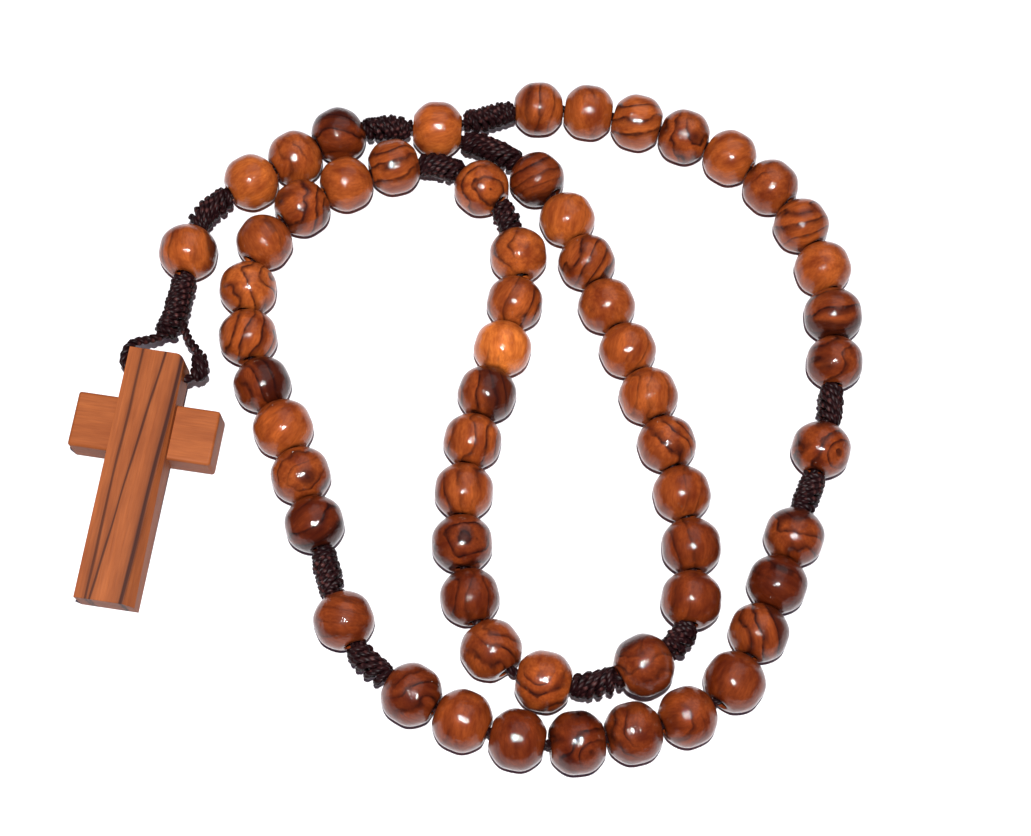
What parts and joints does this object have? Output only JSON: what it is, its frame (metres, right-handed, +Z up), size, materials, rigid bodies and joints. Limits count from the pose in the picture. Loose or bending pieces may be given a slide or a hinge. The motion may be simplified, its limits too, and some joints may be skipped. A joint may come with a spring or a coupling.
{
  "type": "rosary",
  "caption": "Wooden prayer-bead rosary: turned beads on a knotted dark cord loop, folded flat, with a short pendant ending in a plain wooden cross.",
  "frame": {"origin": "middle of the footprint, on the surface that the rosary lies on", "axes": "+X across the folded loop from the cross towards the outer beads, +Y from the cross's foot towards its top, +Z up"},
  "size_m": [0.1057, 0.1005, 0.0106],
  "materials": {
    "bead_wood": "gloss lacquer",
    "light_bead_wood": "gloss lacquer",
    "cross_wood": "satin",
    "cord": "matte twisted"
  },
  "bodies": {
    "loop": {"loop_cord": "cord", "junction_bead": "bead_wood"},
    "pendant": {"pendant_cord": "cord"},
    "cross": {"cross": "cross_wood"},
    "bead_1_01": {"bead_1_01": "bead_wood"},
    "bead_1_02": {"bead_1_02": "bead_wood"},
    "bead_1_03": {"bead_1_03": "bead_wood"},
    "bead_1_04": {"bead_1_04": "bead_wood"},
    "bead_1_05": {"bead_1_05": "bead_wood"},
    "bead_1_06": {"bead_1_06": "bead_wood"},
    "bead_1_07": {"bead_1_07": "bead_wood"},
    "bead_1_08": {"bead_1_08": "bead_wood"},
    "bead_1_09": {"bead_1_09": "bead_wood"},
    "bead_1_10": {"bead_1_10": "bead_wood"},
    "spacer_bead_1": {"spacer_bead_1": "bead_wood"},
    "bead_2_01": {"bead_2_01": "bead_wood"},
    "bead_2_02": {"bead_2_02": "bead_wood"},
    "bead_2_03": {"bead_2_03": "bead_wood"},
    "bead_2_04": {"bead_2_04": "bead_wood"},
    "bead_2_05": {"bead_2_05": "bead_wood"},
    "bead_2_06": {"bead_2_06": "bead_wood"},
    "bead_2_07": {"bead_2_07": "bead_wood"},
    "bead_2_08": {"bead_2_08": "bead_wood"},
    "bead_2_09": {"bead_2_09": "bead_wood"},
    "bead_2_10": {"bead_2_10": "bead_wood"},
    "spacer_bead_2": {"spacer_bead_2": "bead_wood"},
    "bead_3_01": {"bead_3_01": "bead_wood"},
    "bead_3_02": {"bead_3_02": "bead_wood"},
    "bead_3_03": {"bead_3_03": "bead_wood"},
    "bead_3_04": {"bead_3_04": "bead_wood"},
    "bead_3_05": {"bead_3_05": "bead_wood"},
    "bead_3_06": {"bead_3_06": "bead_wood"},
    "bead_3_07": {"bead_3_07": "bead_wood"},
    "bead_3_08": {"bead_3_08": "bead_wood"},
    "bead_3_09": {"bead_3_09": "bead_wood"},
    "bead_3_10": {"bead_3_10": "bead_wood"},
    "spacer_bead_3": {"spacer_bead_3": "bead_wood"},
    "bead_4_01": {"bead_4_01": "bead_wood"},
    "bead_4_02": {"bead_4_02": "bead_wood"},
    "bead_4_03": {"bead_4_03": "bead_wood"},
    "bead_4_04": {"bead_4_04": "bead_wood"},
    "bead_4_05": {"bead_4_05": "bead_wood"},
    "bead_4_06": {"bead_4_06": "bead_wood"},
    "bead_4_07": {"bead_4_07": "bead_wood"},
    "bead_4_08": {"bead_4_08": "bead_wood"},
    "bead_4_09": {"bead_4_09": "bead_wood"},
    "bead_4_10": {"bead_4_10": "bead_wood"},
    "spacer_bead_4": {"spacer_bead_4": "bead_wood"},
    "bead_5_01": {"bead_5_01": "bead_wood"},
    "bead_5_02": {"bead_5_02": "bead_wood"},
    "bead_5_03": {"bead_5_03": "bead_wood"},
    "bead_5_04": {"bead_5_04": "bead_wood"},
    "bead_5_05": {"bead_5_05": "bead_wood"},
    "bead_5_06": {"bead_5_06": "bead_wood"},
    "bead_5_07": {"bead_5_07": "bead_wood"},
    "bead_5_08": {"bead_5_08": "bead_wood"},
    "bead_5_09": {"bead_5_09": "bead_wood"},
    "bead_5_10": {"bead_5_10": "bead_wood"},
    "pendant_bead_trio": {"pendant_bead_trio": "bead_wood"},
    "pendant_spacer_bead": {"pendant_spacer_bead": "light_bead_wood"}
  },
  "joints": [
    {"name": "pendant_swing", "type": "hinge", "parent": "loop", "child": "pendant", "pos_m": [-0.0132, 0.0408, 0.0039], "axis": [0, 0, -1], "range_deg": [0, 40]},
    {"name": "pendant_bead_trio_spin", "type": "hinge", "parent": "pendant", "child": "pendant_bead_trio", "pos_m": [-0.02903, 0.03381, 0.0039], "axis": [-0.7804, -0.6252, 0], "continuous": true},
    {"name": "pendant_spacer_bead_spin", "type": "hinge", "parent": "pendant", "child": "pendant_spacer_bead", "pos_m": [-0.04172, 0.01717, 0.00391], "axis": [-0.0061, -1, 0.0033], "continuous": true},
    {"name": "cross_lift", "type": "hinge", "parent": "pendant", "child": "cross", "pos_m": [-0.04256, -0.00282, 0.00527], "axis": [-0.9988, 0.0497, 0], "range_deg": [0, 75]},
    {"name": "bead_1_01_spin", "type": "hinge", "parent": "loop", "child": "bead_1_01", "pos_m": [0.00495, 0.04616, 0.0039], "axis": [0.9897, 0.1434, 0], "continuous": true},
    {"name": "bead_1_02_spin", "type": "hinge", "parent": "loop", "child": "bead_1_02", "pos_m": [0.01224, 0.04643, 0.0039], "axis": [0.9989, -0.0463, 0], "continuous": true},
    {"name": "bead_1_03_spin", "type": "hinge", "parent": "loop", "child": "bead_1_03", "pos_m": [0.01946, 0.04551, 0.0039], "axis": [0.9814, -0.1921, 0], "continuous": true},
    {"name": "bead_1_04_spin", "type": "hinge", "parent": "loop", "child": "bead_1_04", "pos_m": [0.02645, 0.04391, 0.0039], "axis": [0.9626, -0.271, 0], "continuous": true},
    {"name": "bead_1_05_spin", "type": "hinge", "parent": "loop", "child": "bead_1_05", "pos_m": [0.03326, 0.04117, 0.0039], "axis": [0.8822, -0.4709, 0], "continuous": true},
    {"name": "bead_1_06_spin", "type": "hinge", "parent": "loop", "child": "bead_1_06", "pos_m": [0.03934, 0.03692, 0.0039], "axis": [0.7334, -0.6798, 0], "continuous": true},
    {"name": "bead_1_07_spin", "type": "hinge", "parent": "loop", "child": "bead_1_07", "pos_m": [0.04398, 0.03114, 0.0039], "axis": [0.5284, -0.849, 0], "continuous": true},
    {"name": "bead_1_08_spin", "type": "hinge", "parent": "loop", "child": "bead_1_08", "pos_m": [0.04724, 0.02456, 0.0039], "axis": [0.3373, -0.9414, 0], "continuous": true},
    {"name": "bead_1_09_spin", "type": "hinge", "parent": "loop", "child": "bead_1_09", "pos_m": [0.04884, 0.01735, 0.0039], "axis": [0.1077, -0.9942, 0], "continuous": true},
    {"name": "bead_1_10_spin", "type": "hinge", "parent": "loop", "child": "bead_1_10", "pos_m": [0.04921, 0.01014, 0.0039], "axis": [-0.0067, -1, 0], "continuous": true},
    {"name": "spacer_bead_1_spin", "type": "hinge", "parent": "loop", "child": "spacer_bead_1", "pos_m": [0.04764, -0.003, 0.0039], "axis": [-0.198, -0.9802, 0], "continuous": true},
    {"name": "bead_2_01_spin", "type": "hinge", "parent": "loop", "child": "bead_2_01", "pos_m": [0.04437, -0.01578, 0.0039], "axis": [-0.2781, -0.9605, 0], "continuous": true},
    {"name": "bead_2_02_spin", "type": "hinge", "parent": "loop", "child": "bead_2_02", "pos_m": [0.04235, -0.02258, 0.0039], "axis": [-0.2926, -0.9562, 0], "continuous": true},
    {"name": "bead_2_03_spin", "type": "hinge", "parent": "loop", "child": "bead_2_03", "pos_m": [0.04019, -0.02935, 0.0039], "axis": [-0.3167, -0.9485, 0], "continuous": true},
    {"name": "bead_2_04_spin", "type": "hinge", "parent": "loop", "child": "bead_2_04", "pos_m": [0.03734, -0.03616, 0.0039], "axis": [-0.5191, -0.8547, 0], "continuous": true},
    {"name": "bead_2_05_spin", "type": "hinge", "parent": "loop", "child": "bead_2_05", "pos_m": [0.03158, -0.04127, 0.0039], "axis": [-0.8918, -0.4525, 0], "continuous": true},
    {"name": "bead_2_06_spin", "type": "hinge", "parent": "loop", "child": "bead_2_06", "pos_m": [0.02485, -0.04402, 0.0039], "axis": [-0.9478, -0.319, 0], "continuous": true},
    {"name": "bead_2_07_spin", "type": "hinge", "parent": "loop", "child": "bead_2_07", "pos_m": [0.01786, -0.04596, 0.0039], "axis": [-0.9794, -0.2022, 0], "continuous": true},
    {"name": "bead_2_08_spin", "type": "hinge", "parent": "loop", "child": "bead_2_08", "pos_m": [0.01037, -0.04634, 0.0039], "axis": [-0.9934, 0.1151, 0], "continuous": true},
    {"name": "bead_2_09_spin", "type": "hinge", "parent": "loop", "child": "bead_2_09", "pos_m": [0.00322, -0.04464, 0.0039], "axis": [-0.9495, 0.3138, 0], "continuous": true},
    {"name": "bead_2_10_spin", "type": "hinge", "parent": "loop", "child": "bead_2_10", "pos_m": [-0.00352, -0.04195, 0.0039], "axis": [-0.9037, 0.4282, 0], "continuous": true},
    {"name": "spacer_bead_2_spin", "type": "hinge", "parent": "loop", "child": "spacer_bead_2", "pos_m": [-0.01328, -0.03324, 0.0039], "axis": [-0.4684, 0.8835, 0], "continuous": true},
    {"name": "bead_3_01_spin", "type": "hinge", "parent": "loop", "child": "bead_3_01", "pos_m": [-0.01878, -0.0207, 0.0039], "axis": [-0.3703, 0.9289, 0], "continuous": true},
    {"name": "bead_3_02_spin", "type": "hinge", "parent": "loop", "child": "bead_3_02", "pos_m": [-0.02152, -0.01413, 0.0039], "axis": [-0.4122, 0.9111, 0], "continuous": true},
    {"name": "bead_3_03_spin", "type": "hinge", "parent": "loop", "child": "bead_3_03", "pos_m": [-0.0248, -0.00773, 0.0039], "axis": [-0.4979, 0.8672, 0], "continuous": true},
    {"name": "bead_3_04_spin", "type": "hinge", "parent": "loop", "child": "bead_3_04", "pos_m": [-0.0285, -0.00166, 0.0039], "axis": [-0.5159, 0.8566, 0], "continuous": true},
    {"name": "bead_3_05_spin", "type": "hinge", "parent": "loop", "child": "bead_3_05", "pos_m": [-0.03151, 0.0051, 0.0039], "axis": [-0.2743, 0.9616, 0], "continuous": true},
    {"name": "bead_3_06_spin", "type": "hinge", "parent": "loop", "child": "bead_3_06", "pos_m": [-0.03258, 0.01241, 0.0039], "axis": [-0.039, 0.9992, 0], "continuous": true},
    {"name": "bead_3_07_spin", "type": "hinge", "parent": "loop", "child": "bead_3_07", "pos_m": [-0.03143, 0.01991, 0.0039], "axis": [0.4011, 0.916, 0], "continuous": true},
    {"name": "bead_3_08_spin", "type": "hinge", "parent": "loop", "child": "bead_3_08", "pos_m": [-0.02693, 0.02596, 0.0039], "axis": [0.72, 0.694, 0], "continuous": true},
    {"name": "bead_3_09_spin", "type": "hinge", "parent": "loop", "child": "bead_3_09", "pos_m": [-0.02123, 0.03051, 0.0039], "axis": [0.832, 0.5549, 0], "continuous": true},
    {"name": "bead_3_10_spin", "type": "hinge", "parent": "loop", "child": "bead_3_10", "pos_m": [-0.01482, 0.0341, 0.0039], "axis": [0.9313, 0.3642, 0], "continuous": true},
    {"name": "spacer_bead_3_spin", "type": "hinge", "parent": "loop", "child": "spacer_bead_3", "pos_m": [-0.00201, 0.03204, 0.0039], "axis": [0.7992, -0.6011, 0], "continuous": true},
    {"name": "bead_4_01_spin", "type": "hinge", "parent": "loop", "child": "bead_4_01", "pos_m": [0.00422, 0.02185, 0.0039], "axis": [0.2104, -0.9776, 0], "continuous": true},
    {"name": "bead_4_02_spin", "type": "hinge", "parent": "loop", "child": "bead_4_02", "pos_m": [0.0044, 0.01434, 0.0039], "axis": [-0.113, -0.9936, 0], "continuous": true},
    {"name": "bead_4_03_spin", "type": "hinge", "parent": "loop", "child": "bead_4_03", "pos_m": [0.00336, 0.00725, 0.0039], "axis": [-0.1767, -0.9843, 0], "continuous": true},
    {"name": "bead_4_04_spin", "type": "hinge", "parent": "loop", "child": "bead_4_04", "pos_m": [0.00192, 0.00027, 0.0039], "axis": [-0.217, -0.9762, 0], "continuous": true},
    {"name": "bead_4_05_spin", "type": "hinge", "parent": "loop", "child": "bead_4_05", "pos_m": [0.00065, -0.00683, 0.0039], "axis": [-0.1198, -0.9928, 0], "continuous": true},
    {"name": "bead_4_06_spin", "type": "hinge", "parent": "loop", "child": "bead_4_06", "pos_m": [0.00024, -0.01407, 0.0039], "axis": [0.0042, -1, 0], "continuous": true},
    {"name": "bead_4_07_spin", "type": "hinge", "parent": "loop", "child": "bead_4_07", "pos_m": [0.00075, -0.02134, 0.0039], "axis": [0.1464, -0.9892, 0], "continuous": true},
    {"name": "bead_4_08_spin", "type": "hinge", "parent": "loop", "child": "bead_4_08", "pos_m": [0.00253, -0.02846, 0.0039], "axis": [0.3344, -0.9424, 0], "continuous": true},
    {"name": "bead_4_09_spin", "type": "hinge", "parent": "loop", "child": "bead_4_09", "pos_m": [0.00594, -0.03516, 0.00392], "axis": [0.6376, -0.7703, 0.008], "continuous": true},
    {"name": "bead_4_10_spin", "type": "hinge", "parent": "loop", "child": "bead_4_10", "pos_m": [0.013, -0.03864, 0.00408], "axis": [0.9923, -0.1197, 0.0326], "continuous": true},
    {"name": "spacer_bead_4_spin", "type": "hinge", "parent": "loop", "child": "spacer_bead_4", "pos_m": [0.02541, -0.03583, 0.00649], "axis": [0.8367, 0.5463, 0.0387], "continuous": true},
    {"name": "bead_5_01_spin", "type": "hinge", "parent": "loop", "child": "bead_5_01", "pos_m": [0.03114, -0.02612, 0.00475], "axis": [0.0348, 0.9943, -0.1012], "continuous": true},
    {"name": "bead_5_02_spin", "type": "hinge", "parent": "loop", "child": "bead_5_02", "pos_m": [0.03082, -0.01866, 0.00415], "axis": [-0.1251, 0.9905, -0.0577], "continuous": true},
    {"name": "bead_5_03_spin", "type": "hinge", "parent": "loop", "child": "bead_5_03", "pos_m": [0.02918, -0.01134, 0.00391], "axis": [-0.3009, 0.9536, -0.0079], "continuous": true},
    {"name": "bead_5_04_spin", "type": "hinge", "parent": "loop", "child": "bead_5_04", "pos_m": [0.02674, -0.00442, 0.0039], "axis": [-0.3589, 0.9334, 0], "continuous": true},
    {"name": "bead_5_05_spin", "type": "hinge", "parent": "loop", "child": "bead_5_05", "pos_m": [0.02386, 0.00235, 0.0039], "axis": [-0.4238, 0.9057, 0], "continuous": true},
    {"name": "bead_5_06_spin", "type": "hinge", "parent": "loop", "child": "bead_5_06", "pos_m": [0.02056, 0.0089, 0.0039], "axis": [-0.4683, 0.8836, 0], "continuous": true},
    {"name": "bead_5_07_spin", "type": "hinge", "parent": "loop", "child": "bead_5_07", "pos_m": [0.01718, 0.01532, 0.0039], "axis": [-0.4611, 0.8874, 0], "continuous": true},
    {"name": "bead_5_08_spin", "type": "hinge", "parent": "loop", "child": "bead_5_08", "pos_m": [0.01389, 0.02182, 0.0039], "axis": [-0.4428, 0.8966, 0], "continuous": true},
    {"name": "bead_5_09_spin", "type": "hinge", "parent": "loop", "child": "bead_5_09", "pos_m": [0.01059, 0.02836, 0.0039], "axis": [-0.4863, 0.8738, 0], "continuous": true},
    {"name": "bead_5_10_spin", "type": "hinge", "parent": "loop", "child": "bead_5_10", "pos_m": [0.00574, 0.03434, 0.0039], "axis": [-0.7657, 0.6431, 0], "continuous": true}
  ]
}
